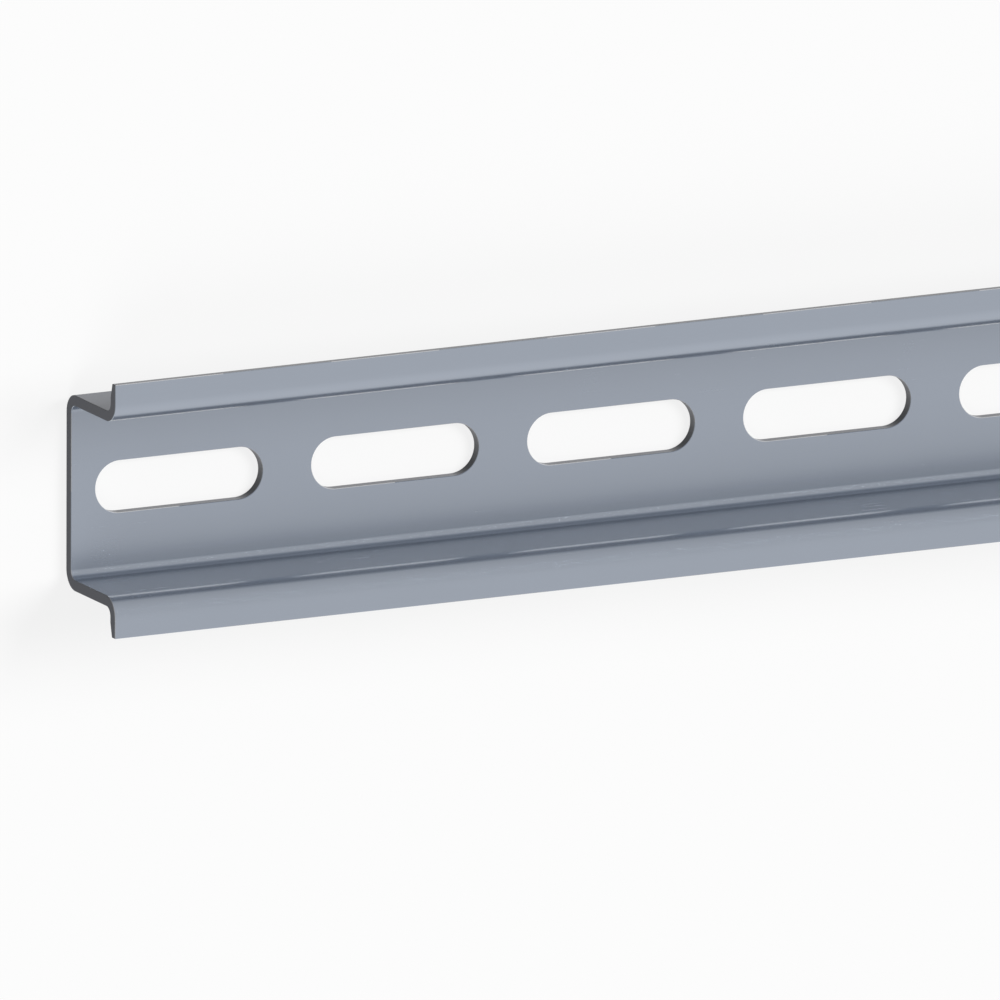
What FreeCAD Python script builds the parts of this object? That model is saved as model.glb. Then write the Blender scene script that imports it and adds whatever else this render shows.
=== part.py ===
"""Slotted mounting rail of hat section, roll-formed from one strip of steel.

Lengths are in millimetres. The rail lies on the back of its web, as on a panel:
X runs along it, Y across it, and Z from the panel up to the front of the lips.
The origin is the middle of the web's back face.
"""
import FreeCAD, Part
import math
import os
import Sketcher
from FreeCAD import Vector

START, END, CENTRE = 1, 2, 3  # points of a line or an arc in a sketch
ORIGIN = (-1, 1)  # a sketch's own origin
ACROSS_AXIS = -1  # a sketch's own horizontal axis

SIZES = [
    ("rail_length", 1000.0, "length that the stock is sold in"),
    ("rail_depth", 15.0, "back of the web to the front of the lips"),
    ("hat_width", 27.0, "across the outer faces of the two side walls"),
    ("lip_width", 4.0, "outer face of a side wall to the edge of its lip"),
    ("strip_thickness", 1.5, "thickness of the strip"),
    ("bend_radius", 1.2, "inside radius of every bend"),
    ("lip_flat", 0.8, "full thickness of a lip beyond its bend"),
    ("edge_thickness", 1.0, "lip at its edge, thinned from behind"),
    ("slot_length", 25.0, "end to end, with the round ends"),
    ("slot_width", 7.2, "across the rail"),
    ("slot_bridge", 7.258, "web left between two slots"),
]

doc = FreeCAD.newDocument("MountingRail")
sheet = doc.addObject("Spreadsheet::Sheet", "Sizes")
for row, (alias, value, meaning) in enumerate(SIZES, start=1):
    sheet.set(f"A{row}", meaning)
    sheet.set(f"B{row}", str(value))
    sheet.setAlias(f"B{row}", alias)
doc.recompute()

# What follows from the sizes, as expressions
OUTER_RADIUS = "Sizes.bend_radius + Sizes.strip_thickness"
SLOT_PITCH = "Sizes.slot_length + Sizes.slot_bridge"
SLOT_COUNT = f"floor(Sizes.rail_length / ({SLOT_PITCH}))"


def origin_feature(body, role):
    """One of the body's own base planes or axes."""
    return next(feature for feature in body.Origin.OriginFeatures if feature.Role == role)


def new_sketch(body, name, plane):
    sketch = body.newObject("Sketcher::SketchObject", name)
    sketch.AttachmentSupport = (origin_feature(body, plane), [""])
    sketch.MapMode = "FlatFace"
    return sketch


def add_line(sketch, start, end):
    return sketch.addGeometry(Part.LineSegment(Vector(*start), Vector(*end)))


def add_arc(sketch, centre, radius, start_degrees, end_degrees):
    circle = Part.Circle(Vector(*centre), Vector(0, 0, 1), radius)
    arc = Part.ArcOfCircle(circle, math.radians(start_degrees), math.radians(end_degrees))
    return sketch.addGeometry(arc)


def constrain(sketch, kind, *where):
    return sketch.addConstraint(Sketcher.Constraint(kind, *where))


def set_size(sketch, name, expression, kind, *where):
    """A named dimension of the sketch, bound to the sheet."""
    number = constrain(sketch, kind, *where)
    sketch.renameConstraint(number, name)
    sketch.setExpression(f"Constraints.{name}", expression)


def draw_half_section(body):
    """Half of the hat section, from the middle of the web to the edge of one lip."""
    sketch = new_sketch(body, "HalfSection", "YZ_Plane")
    thickness, inner = sheet.strip_thickness, sheet.bend_radius
    outer = inner + thickness
    wall_out = sheet.hat_width / 2
    wall_in = wall_out - thickness
    web_bend = (wall_out - outer, outer)
    lip_bend = (wall_out + inner, sheet.rail_depth - outer)
    front = sheet.rail_depth
    behind = front - thickness
    edge = wall_out + sheet.lip_width
    flat_end = lip_bend[0] + sheet.lip_flat
    edge_back = front - sheet.edge_thickness

    web_back = add_line(sketch, (0, 0), (web_bend[0], 0))
    web_outer_bend = add_arc(sketch, web_bend, outer, -90, 0)
    wall_outside = add_line(sketch, (wall_out, web_bend[1]), (wall_out, lip_bend[1]))
    lip_inner_bend = add_arc(sketch, lip_bend, inner, 90, 180)
    lip_back = add_line(sketch, (lip_bend[0], behind), (flat_end, behind))
    lip_taper = add_line(sketch, (flat_end, behind), (edge, edge_back))
    lip_edge = add_line(sketch, (edge, edge_back), (edge, front))
    lip_front = add_line(sketch, (edge, front), (lip_bend[0], front))
    lip_outer_bend = add_arc(sketch, lip_bend, outer, 90, 180)
    wall_inside = add_line(sketch, (wall_in, lip_bend[1]), (wall_in, web_bend[1]))
    web_inner_bend = add_arc(sketch, web_bend, inner, -90, 0)
    web_front = add_line(sketch, (web_bend[0], thickness), (0, thickness))
    middle = add_line(sketch, (0, thickness), (0, 0))

    for line in (web_back, lip_back, lip_front, web_front):
        constrain(sketch, "Horizontal", line)
    for line in (wall_outside, lip_edge, wall_inside, middle):
        constrain(sketch, "Vertical", line)
    for line in (lip_back, lip_taper, lip_edge, web_front, middle):
        following = line + 1 if line != middle else web_back
        constrain(sketch, "Coincident", line, END, following, START)
    for arc, before, after in (
        (web_outer_bend, web_back, wall_outside),
        (lip_outer_bend, lip_front, wall_inside),
    ):
        constrain(sketch, "Tangent", before, END, arc, START)
        constrain(sketch, "Tangent", arc, END, after, START)
    for arc, before, after in (
        (lip_inner_bend, wall_outside, lip_back),
        (web_inner_bend, wall_inside, web_front),
    ):
        constrain(sketch, "Tangent", before, END, arc, END)
        constrain(sketch, "Tangent", arc, START, after, START)
    constrain(sketch, "Coincident", web_outer_bend, CENTRE, web_inner_bend, CENTRE)
    constrain(sketch, "Coincident", lip_outer_bend, CENTRE, lip_inner_bend, CENTRE)
    constrain(sketch, "Coincident", web_back, START, *ORIGIN)

    set_size(sketch, "webInnerRadius", "Sizes.bend_radius", "Radius", web_inner_bend, inner)
    set_size(sketch, "webOuterRadius", OUTER_RADIUS, "Radius", web_outer_bend, outer)
    set_size(sketch, "lipInnerRadius", "Sizes.bend_radius", "Radius", lip_inner_bend, inner)
    set_size(
        sketch, "halfHatWidth", "Sizes.hat_width / 2",
        "DistanceX", *ORIGIN, wall_outside, START, wall_out,
    )
    set_size(
        sketch, "railDepth", "Sizes.rail_depth",
        "DistanceY", *ORIGIN, lip_front, END, front,
    )
    set_size(
        sketch, "lipWidth", "Sizes.lip_width",
        "DistanceX", wall_outside, END, lip_edge, END, sheet.lip_width,
    )
    set_size(
        sketch, "lipFlat", "Sizes.lip_flat",
        "DistanceX", lip_back, START, lip_back, END, sheet.lip_flat,
    )
    set_size(
        sketch, "edgeThickness", "Sizes.edge_thickness",
        "DistanceY", lip_edge, START, lip_edge, END, sheet.edge_thickness,
    )
    return sketch


def draw_slot(body):
    """The first slot, at the rail's low end in X: two straight sides and two round ends."""
    sketch = new_sketch(body, "FirstSlot", "XY_Plane")
    pitch = sheet.slot_length + sheet.slot_bridge
    first = (math.floor(sheet.rail_length / pitch) - 1) * pitch / 2
    radius = sheet.slot_width / 2
    straight = sheet.slot_length - sheet.slot_width
    low, high = -first - straight / 2, -first + straight / 2

    side_near = add_line(sketch, (low, -radius), (high, -radius))
    end_high = add_arc(sketch, (high, 0), radius, -90, 90)
    side_far = add_line(sketch, (high, radius), (low, radius))
    end_low = add_arc(sketch, (low, 0), radius, 90, 270)

    constrain(sketch, "Tangent", side_near, END, end_high, START)
    constrain(sketch, "Tangent", end_high, END, side_far, START)
    constrain(sketch, "Tangent", side_far, END, end_low, START)
    constrain(sketch, "Tangent", end_low, END, side_near, START)
    constrain(sketch, "Equal", end_low, end_high)
    for arc in (end_low, end_high):
        constrain(sketch, "PointOnObject", arc, CENTRE, ACROSS_AXIS)
    set_size(sketch, "endRadius", "Sizes.slot_width / 2", "Radius", end_high, radius)
    set_size(
        sketch, "straight", "Sizes.slot_length - Sizes.slot_width",
        "DistanceX", end_low, CENTRE, end_high, CENTRE, straight,
    )
    set_size(
        sketch, "firstSlot",
        f"(({SLOT_COUNT} - 1) * ({SLOT_PITCH}) + Sizes.slot_length - Sizes.slot_width) / 2",
        "DistanceX", end_low, CENTRE, *ORIGIN, -low,
    )
    return sketch


def make_rail():
    body = doc.addObject("PartDesign::Body", "Rail")
    body.Label = "rail"

    half = body.newObject("PartDesign::Pad", "HalfRail")
    half.Profile = draw_half_section(body)
    half.SideType = "Symmetric"
    half.setExpression("Length", "Sizes.rail_length")
    whole = body.newObject("PartDesign::Mirrored", "WholeRail")
    whole.Originals = [half]
    whole.MirrorPlane = (origin_feature(body, "XZ_Plane"), [""])
    body.Tip = whole
    doc.recompute()

    slot = body.newObject("PartDesign::Pocket", "Slot")
    slot.Profile = draw_slot(body)
    slot.Type = "ThroughAll"
    slot.Reversed = True  # up from the back face, into the web
    slots = body.newObject("PartDesign::LinearPattern", "SlotRow")
    slots.Originals = [slot]
    slots.Direction = (origin_feature(body, "X_Axis"), [""])
    slots.Mode = "Spacing"
    slots.setExpression("Offset", SLOT_PITCH)
    slots.setExpression("Occurrences", SLOT_COUNT)
    body.Tip = slots
    doc.recompute()
    return body, whole, slots


def check_slots(whole, slots):
    """Every slot has to take its own piece out of the web."""
    round_ends = math.pi * (sheet.slot_width / 2) ** 2
    opening = (sheet.slot_length - sheet.slot_width) * sheet.slot_width + round_ends
    meant = slots.Occurrences * opening * sheet.strip_thickness
    cut = whole.Shape.Volume - slots.Shape.Volume
    if abs(cut - meant) > meant / 1000:
        raise RuntimeError(f"the slots cut {cut:.1f} mm3 where {meant:.1f} mm3 was meant")


rail, plain_rail, slot_row = make_rail()
for item in doc.Objects:
    if "Invalid" in item.State or "Error" in item.State:
        raise RuntimeError(f"{item.Label} failed: {item.State}")
if rail.Shape.isNull() or not rail.Shape.isValid():
    raise RuntimeError("the rail's shape is not valid")
check_slots(plain_rail, slot_row)

os.makedirs("parts", exist_ok=True)
rail.Shape.exportStep(f"parts/{rail.Label}.step")
box = rail.Shape.BoundBox
print(f"rail {box.XLength:.2f} x {box.YLength:.2f} x {box.ZLength:.2f} mm")
print(f"{slot_row.Occurrences} slots")
print(f"volume {rail.Shape.Volume:.0f} mm3 in {len(rail.Shape.Solids)} solid")
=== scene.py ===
import math

import bmesh
import bpy
from mathutils import Matrix, Vector


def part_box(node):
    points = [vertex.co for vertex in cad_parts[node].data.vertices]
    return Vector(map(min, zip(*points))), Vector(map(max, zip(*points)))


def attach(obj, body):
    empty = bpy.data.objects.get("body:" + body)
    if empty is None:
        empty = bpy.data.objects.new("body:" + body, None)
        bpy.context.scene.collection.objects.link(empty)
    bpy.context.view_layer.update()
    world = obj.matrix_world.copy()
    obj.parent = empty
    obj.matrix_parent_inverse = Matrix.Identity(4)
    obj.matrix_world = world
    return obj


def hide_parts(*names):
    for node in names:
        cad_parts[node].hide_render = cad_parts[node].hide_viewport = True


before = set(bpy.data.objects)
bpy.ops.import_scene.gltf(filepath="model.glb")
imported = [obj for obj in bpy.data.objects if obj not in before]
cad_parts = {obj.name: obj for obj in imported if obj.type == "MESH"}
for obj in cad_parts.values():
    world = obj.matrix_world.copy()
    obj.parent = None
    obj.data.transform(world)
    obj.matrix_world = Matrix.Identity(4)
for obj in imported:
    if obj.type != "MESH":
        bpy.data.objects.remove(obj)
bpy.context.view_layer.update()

mm = 0.001
tiny = 0.01 * mm    # closer than this is the same place
railLow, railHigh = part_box("rail")
print("frame loaded")

rail = {
    "slotCount": 31,
    "slotLength": 25 * mm,
    "slotWidth": 7.2 * mm,
    "hatWidth": 27 * mm,
    "thickness": 1.5 * mm,
    "bendRadius": 1.2 * mm,     # inside
    "lipFlat": 0.8 * mm,        # full thickness beyond the bend
    "edgeThickness": 1.0 * mm,
    "edgeBreak": 0.06 * mm,     # chamfer on every cut and rolled corner
    "endSteps": 12,             # in a quarter of a slot's round end
    "bendSteps": 10,
    "sharpCorner": 60,          # degrees; what turns more gets the chamfer
    "smoothCorner": 30,         # degrees; what turns less is shaded round
}
outerRadius = rail["bendRadius"] + rail["thickness"]
webEdge = rail["hatWidth"] / 2 - outerRadius            # where the web turns up
lipStart = rail["hatWidth"] / 2 + rail["bendRadius"]    # where the lip lies flat again
wallTop = railHigh.z - outerRadius


# edit-mode helpers

def near(a, b):
    return abs(a - b) < tiny


def pick(piece, test):
    # the vertices that the test takes, and what lies between them
    mesh = bmesh.from_edit_mesh(piece.data)
    for vert in mesh.verts:
        vert.select = test(vert.co)
    mesh.select_flush_mode()
    mesh.select_flush(True)
    bmesh.update_edit_mesh(piece.data)


def pull(x=0, y=0, z=0):
    bpy.ops.mesh.extrude_region_move(TRANSFORM_OT_translate={"value": (x, y, z)})


def stretch(x, y, about):
    bpy.ops.transform.resize(value=(x, y, 1), center_override=about)


def turnUp(centre, angle):
    bpy.ops.mesh.spin(steps=rail["bendSteps"], angle=angle, center=centre, axis=(1, 0, 0))


def editing(on):
    bpy.ops.object.mode_set(mode="EDIT" if on else "OBJECT")


def applyModifier(piece, kind, **settings):
    modifier = piece.modifiers.new(kind.title(), kind)
    for name, value in settings.items():
        setattr(modifier, name, value)
    bpy.ops.object.modifier_apply(modifier=modifier.name)


# the rail: a quarter of one slot's stretch, mirrored, repeated, then given its thickness

def addSlotQuarter(pitch):
    halfStraight = (rail["slotLength"] - rail["slotWidth"]) / 2
    endRadius = rail["slotWidth"] / 2
    bpy.ops.mesh.primitive_circle_add(
        vertices=4 * rail["endSteps"], radius=endRadius, location=(halfStraight, 0, rail["thickness"])
    )
    piece = bpy.context.object
    bpy.ops.object.transform_apply(location=True, rotation=False, scale=False)
    editing(True)
    pick(piece, lambda p: p.x < halfStraight - tiny or p.y < -tiny)
    bpy.ops.mesh.delete(type="VERT")
    pick(piece, lambda p: near(p.x, halfStraight))
    pull(x=-halfStraight)       # the slot's straight side

    bpy.ops.mesh.select_all(action="SELECT")
    pull()                      # the web, from the rim out to the border
    spread = 1.6                # takes the border clear of the rim, so that it can be picked by place
    stretch(spread, spread, (0, 0, 0))
    cornerX = spread * (halfStraight + endRadius * math.cos(math.pi / 4))
    cornerY = spread * endRadius * math.sin(math.pi / 4)
    border = pitch / 2
    pick(piece, lambda p: p.x > halfStraight + endRadius + tiny and p.y < cornerY + tiny)
    stretch(0, webEdge / cornerY, (border, 0, 0))
    pick(piece, lambda p: endRadius + tiny < p.y < webEdge - tiny and not near(p.x, border))
    stretch(border / cornerX, 0, (0, webEdge, 0))
    return piece


def addSide(piece):
    pick(piece, lambda p: near(p.y, webEdge))
    turnUp((0, webEdge, outerRadius), -math.pi / 2)
    pull(z=wallTop - outerRadius)
    turnUp((0, lipStart, wallTop), math.pi / 2)
    pull(y=rail["lipFlat"])
    pull(y=railHigh.y - lipStart - rail["lipFlat"])


def thinLips(piece):
    behindEdge = railHigh.z - rail["thickness"]
    pick(piece, lambda p: near(abs(p.y), railHigh.y) and near(p.z, behindEdge))
    bpy.ops.transform.translate(value=(0, 0, rail["thickness"] - rail["edgeThickness"]))


def pickEnds(piece):
    mesh = bmesh.from_edit_mesh(piece.data)
    for face in mesh.faces:
        middle = face.calc_center_median().x
        face.select = near(middle, railLow.x) or near(middle, railHigh.x)
    bmesh.update_edit_mesh(piece.data)


def breakEdges():
    bpy.ops.mesh.select_all(action="DESELECT")
    bpy.ops.mesh.select_mode(type="EDGE")
    bpy.ops.mesh.edges_select_sharp(sharpness=math.radians(rail["sharpCorner"]))
    bpy.ops.mesh.bevel(offset=rail["edgeBreak"], segments=1)
    bpy.ops.mesh.select_mode(type="VERT")


def addRail(finishes):
    pitch = (railHigh.x - railLow.x) / rail["slotCount"]
    bpy.ops.object.select_all(action="DESELECT")
    piece = addSlotQuarter(pitch)
    addSide(piece)
    bpy.ops.mesh.select_all(action="SELECT")
    bpy.ops.mesh.normals_make_consistent(inside=False)
    editing(False)
    piece.name = "mounting_rail"
    for finish in finishes:
        piece.data.materials.append(finish)

    applyModifier(piece, "MIRROR", use_axis=(True, True, False), merge_threshold=tiny)
    editing(True)
    bpy.ops.mesh.select_all(action="SELECT")
    bpy.ops.transform.translate(value=(railLow.x + pitch / 2, 0, 0))
    editing(False)
    applyModifier(
        piece, "ARRAY", count=rail["slotCount"], use_relative_offset=False,
        use_constant_offset=True, constant_offset_displace=(pitch, 0, 0),
        use_merge_vertices=True, merge_threshold=tiny,
    )
    applyModifier(
        piece, "SOLIDIFY", thickness=rail["thickness"], offset=-1, use_even_offset=True,
        material_offset=1, material_offset_rim=2,   # the back and the cut edges
    )

    editing(True)
    thinLips(piece)
    breakEdges()
    pickEnds(piece)
    piece.active_material_index = 3     # the sawn ends, in their darker colour of painted shade
    bpy.ops.object.material_slot_assign()
    editing(False)
    bpy.ops.object.shade_smooth_by_angle(angle=math.radians(rail["smoothCorner"]))
    applyModifier(piece, "WEIGHTED_NORMAL", keep_sharp=True)    # the flats stay flat up to the bends
    print("rail shaped:", len(piece.data.polygons), "faces")
    return piece


# finishes: one shared group for rolled and sheared steel, placed in each with its own values

grainLayers = {                 # scale per metre, and detail
    "Streaks": (1, 3),          # on top of each finish's own scale
    "Speckle": (3600, 1),
    "Clouds": (90, 2),
}


def connect(material, *sockets):
    # one link after another, given as pairs
    for output, target in zip(sockets[::2], sockets[1::2]):
        material.node_tree.links.new(output, target)


def makeGrainGroup():
    # streaks, speckle and clouds added up round a middle of 0.5
    group = bpy.data.node_groups.new("steel_grain", "ShaderNodeTree")
    face = group.interface
    face.new_socket("Streak Scale", in_out="INPUT", socket_type="NodeSocketVector")
    for name in grainLayers:
        face.new_socket(name, in_out="INPUT", socket_type="NodeSocketFloat")
    face.new_socket("Tone", in_out="OUTPUT", socket_type="NodeSocketFloat")
    face.new_socket("Height", in_out="OUTPUT", socket_type="NodeSocketFloat")
    nodes, links = group.nodes, group.links
    values = nodes.new("NodeGroupInput").outputs
    result = nodes.new("NodeGroupOutput").inputs
    place = nodes.new("ShaderNodeTexCoord").outputs["Object"]

    stretched = nodes.new("ShaderNodeVectorMath")
    stretched.operation = "MULTIPLY"
    links.new(place, stretched.inputs[0])
    links.new(values["Streak Scale"], stretched.inputs[1])

    total = None
    for name, (scale, detail) in grainLayers.items():
        noise = nodes.new("ShaderNodeTexNoise")
        noise.inputs["Scale"].default_value = scale
        noise.inputs["Detail"].default_value = detail
        links.new(stretched.outputs[0] if name == "Streaks" else place, noise.inputs["Vector"])
        centred = nodes.new("ShaderNodeMath")
        centred.operation = "SUBTRACT"
        centred.inputs[1].default_value = 0.5
        links.new(noise.outputs["Fac"], centred.inputs[0])
        added = nodes.new("ShaderNodeMath")
        added.operation = "MULTIPLY_ADD"
        added.inputs[2].default_value = 0.5
        links.new(centred.outputs[0], added.inputs[0])
        links.new(values[name], added.inputs[1])
        if total:
            links.new(total, added.inputs[2])
        total = added.outputs[0]
        if name == "Speckle":
            links.new(total, result["Height"])
    links.new(total, result["Tone"])
    return group


plated = {
    "plated_front": {
        "dark": (0.301, 0.342, 0.410, 1),
        "light": (0.319, 0.361, 0.433, 1),
        "metallic": 0.9,
        "coat": 1,
        "roughness": (0.26, 0.28),
    },
    "plated_back": {
        "dark": (0.190, 0.198, 0.220, 1),
        "light": (0.214, 0.223, 0.246, 1),
        "metallic": 0.6,
        "coat": 0,
        "roughness": (0.40, 0.46),
    },
}
rolled = {
    "scale": (14, 4200, 4200),  # per metre: long marks in the direction of rolling
    "streaks": 0.5,
    "speckle": 0.15,
    "clouds": 0.6,
    "relief": 0.0001 * mm,
    "grazingTint": (0.8, 0.8, 0.8, 1),  # how much of its shine the metal keeps where it turns away
    "coatRoughness": 0.25,
    "coatIor": 2,
}
sheared = {
    "punched_edge": {
        "dark": (0.174, 0.175, 0.182, 1),
        "light": (0.241, 0.243, 0.253, 1),
        "roughness": (0.5, 0.75),
    },
    # painted shade: the sawn ends are bare steel like the punched edges, but coloured darker to stand
    # in for the shade on an end turned away from the light
    "sawn_end_painted_shade": {
        "dark": (0.104, 0.107, 0.117, 1),
        "light": (0.119, 0.122, 0.133, 1),
        "roughness": (0.6, 0.8),
    },
}
cut = {
    "scale": (5200, 5200, 260),     # the marks run through the strip's thickness
    "streaks": 1.2,
    "speckle": 0.3,
    "clouds": 0.3,
    "relief": 0.002 * mm,
    "specular": 0.05,
}


def newMaterial(name):
    material = bpy.data.materials.new(name)
    material.use_nodes = True
    return material, material.node_tree.nodes, material.node_tree.nodes["Principled BSDF"]


def addGrain(nodes, group, marks):
    grain = nodes.new("ShaderNodeGroup")
    grain.node_tree = group
    grain.inputs["Streak Scale"].default_value = marks["scale"]
    grain.inputs["Streaks"].default_value = marks["streaks"]
    grain.inputs["Speckle"].default_value = marks["speckle"]
    grain.inputs["Clouds"].default_value = marks["clouds"]
    return grain.outputs


def addBlend(nodes, dark, light):
    blend = nodes.new("ShaderNodeMix")
    blend.data_type = "RGBA"
    blend.inputs["A"].default_value = dark
    blend.inputs["B"].default_value = light
    return blend


def addRange(nodes, low, high):
    spread = nodes.new("ShaderNodeMapRange")
    spread.inputs["To Min"].default_value = low
    spread.inputs["To Max"].default_value = high
    return spread


def addBump(nodes, depth):
    bump = nodes.new("ShaderNodeBump")
    bump.inputs["Distance"].default_value = depth
    return bump


def addSteel(name, group, look, marks):
    material, nodes, shader = newMaterial(name)
    grain = addGrain(nodes, group, marks)
    colour = addBlend(nodes, look["dark"], look["light"])
    rough = addRange(nodes, *look["roughness"])
    bump = addBump(nodes, marks["relief"])
    connect(
        material,
        grain["Tone"], colour.inputs["Factor"],
        colour.outputs["Result"], shader.inputs["Base Color"],
        grain["Tone"], rough.inputs["Value"],
        rough.outputs["Result"], shader.inputs["Roughness"],
        grain["Height"], bump.inputs["Height"],
        bump.outputs["Normal"], shader.inputs["Normal"],
    )
    return material, shader


def addPlating(name, group):
    look = plated[name]
    material, shader = addSteel(name, group, look, rolled)
    shader.inputs["Metallic"].default_value = look["metallic"]
    shader.inputs["Specular Tint"].default_value = rolled["grazingTint"]
    shader.inputs["Coat Weight"].default_value = look["coat"]
    shader.inputs["Coat Roughness"].default_value = rolled["coatRoughness"]
    shader.inputs["Coat IOR"].default_value = rolled["coatIor"]
    return material


def addShear(name, group):
    material, shader = addSteel(name, group, sheared[name], cut)
    shader.inputs["Specular IOR Level"].default_value = cut["specular"]
    return material


# floor, light and camera

floorLook = {
    "size": 20,
    "colour": (0.045, 0.045, 0.045, 1),     # takes the rail's shadow and throws little light back
    "white": 0.82,              # what the camera and reflections see on top of that
}
skyLook = {
    "level": 0.42,
    "glow": (                   # how much more comes from these sides
        ((1, 0, 0), 0.2),
        ((0, -1, 0), 0.3),
        ((0, 0, 1), 0.1),
    ),
}
lamps = {                       # turned: degrees clockwise from +Y, as on a compass seen from above
    "far_light": {"turned": 66, "height": 45, "level": 3},
    "near_light": {"turned": 215, "height": 45, "level": 1},
}
lampWidth = 36                  # degrees across, for soft shadows
cameraView = {
    "turned": 26.02,            # degrees to the left of square-on to the web
    "raised": 13.2,             # degrees above square-on, towards the upper lip
    "roll": 0.09,               # degrees
    "frameWidth": 134.23 * mm,
    "aimFromEnd": 64.06 * mm,   # middle of the frame, along the rail from its cut end
    "aimAcross": -7.65 * mm,
    "distance": 0.6,
    "sees": (0.01, 10),         # nearest and farthest, in metres
}


def addFloor():
    bpy.ops.mesh.primitive_plane_add(size=floorLook["size"])
    floor = bpy.context.object
    floor.name = "floor"
    material, nodes, shader = newMaterial("pale_floor")
    shader.inputs["Base Color"].default_value = floorLook["colour"]
    shader.inputs["Roughness"].default_value = 1
    shader.inputs["Specular IOR Level"].default_value = 0
    shader.inputs["Emission Strength"].default_value = floorLook["white"]
    material.cycles.emission_sampling = "NONE"     # its white lights nothing, so no ray looks for it
    path = nodes.new("ShaderNodeLightPath")
    seen = path.outputs["Is Camera Ray"]
    for ray in ("Is Glossy Ray", "Is Transmission Ray"):
        either = nodes.new("ShaderNodeMath")
        either.operation = "MAXIMUM"
        connect(
            material,
            seen, either.inputs[0],
            path.outputs[ray], either.inputs[1],
        )
        seen = either.outputs[0]
    connect(material, seen, shader.inputs["Emission Color"])
    floor.data.materials.append(material)


def addSky():
    sky = bpy.data.worlds.new("studio")
    sky.use_nodes = True
    sky.cycles.sampling_method = "NONE"     # smooth enough for the rays that bounce into it
    bpy.context.scene.world = sky
    nodes = sky.node_tree.nodes
    way = nodes.new("ShaderNodeTexCoord").outputs["Generated"]
    total = nodes.new("ShaderNodeValue").outputs[0]
    total.default_value = skyLook["level"]
    for side, gain in skyLook["glow"]:
        facing = nodes.new("ShaderNodeVectorMath")
        facing.operation = "DOT_PRODUCT"
        facing.inputs[1].default_value = side
        above = nodes.new("ShaderNodeMath")
        above.operation = "MAXIMUM"
        above.inputs[1].default_value = 0
        added = nodes.new("ShaderNodeMath")
        added.operation = "MULTIPLY_ADD"
        added.inputs[1].default_value = gain
        connect(
            sky,
            way, facing.inputs[0],
            facing.outputs["Value"], above.inputs[0],
            above.outputs[0], added.inputs[0],
            total, added.inputs[2],
        )
        total = added.outputs[0]
    path = nodes.new("ShaderNodeLightPath")
    seen = nodes.new("ShaderNodeMix")
    seen.inputs["B"].default_value = 1
    connect(
        sky,
        total, seen.inputs["A"],
        path.outputs["Is Camera Ray"], seen.inputs["Factor"],
        seen.outputs["Result"], nodes["Background"].inputs["Strength"],
    )
    nodes["Background"].inputs["Color"].default_value = (1, 1, 1, 1)


def addLamp(name):
    lamp = lamps[name]
    turned = math.radians(lamp["turned"])
    height = math.radians(lamp["height"])
    bpy.ops.object.light_add(type="SUN")
    light = bpy.context.object
    light.name = name
    light.data.energy = lamp["level"] * math.pi
    light.data.angle = math.radians(lampWidth)
    light.visible_glossy = False        # no hot spot of its own in the plating
    towards = Vector((
        math.sin(turned) * math.cos(height),
        math.cos(turned) * math.cos(height),
        math.sin(height),
    ))
    light.matrix_world = towards.to_track_quat("Z", "Y").to_matrix().to_4x4()


def addCamera():
    turn = (
        Matrix.Rotation(math.radians(-cameraView["turned"]), 4, "Y")
        @ Matrix.Rotation(math.radians(-cameraView["raised"]), 4, "X")
        @ Matrix.Rotation(math.radians(cameraView["roll"]), 4, "Z")
    )
    aim = Vector((
        railLow.x + cameraView["aimFromEnd"],
        cameraView["aimAcross"],
        rail["thickness"],
    ))
    bpy.ops.object.camera_add()
    camera = bpy.context.object
    camera.data.type = "ORTHO"
    camera.data.ortho_scale = cameraView["frameWidth"]
    camera.data.clip_start, camera.data.clip_end = cameraView["sees"]
    camera.matrix_world = (
        Matrix.Translation(aim) @ turn @ Matrix.Translation((0, 0, cameraView["distance"]))
    )
    bpy.context.scene.camera = camera


grainGroup = makeGrainGroup()
finishes = [addPlating(name, grainGroup) for name in plated]
finishes += [addShear(name, grainGroup) for name in sheared]
print("finishes made")

railPiece = addRail(finishes)
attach(railPiece, "root")
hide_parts("rail")

addFloor()
addSky()
for name in lamps:
    addLamp(name)
addCamera()
bpy.context.scene.view_settings.view_transform = "Standard"
print("floor, light and camera in place")
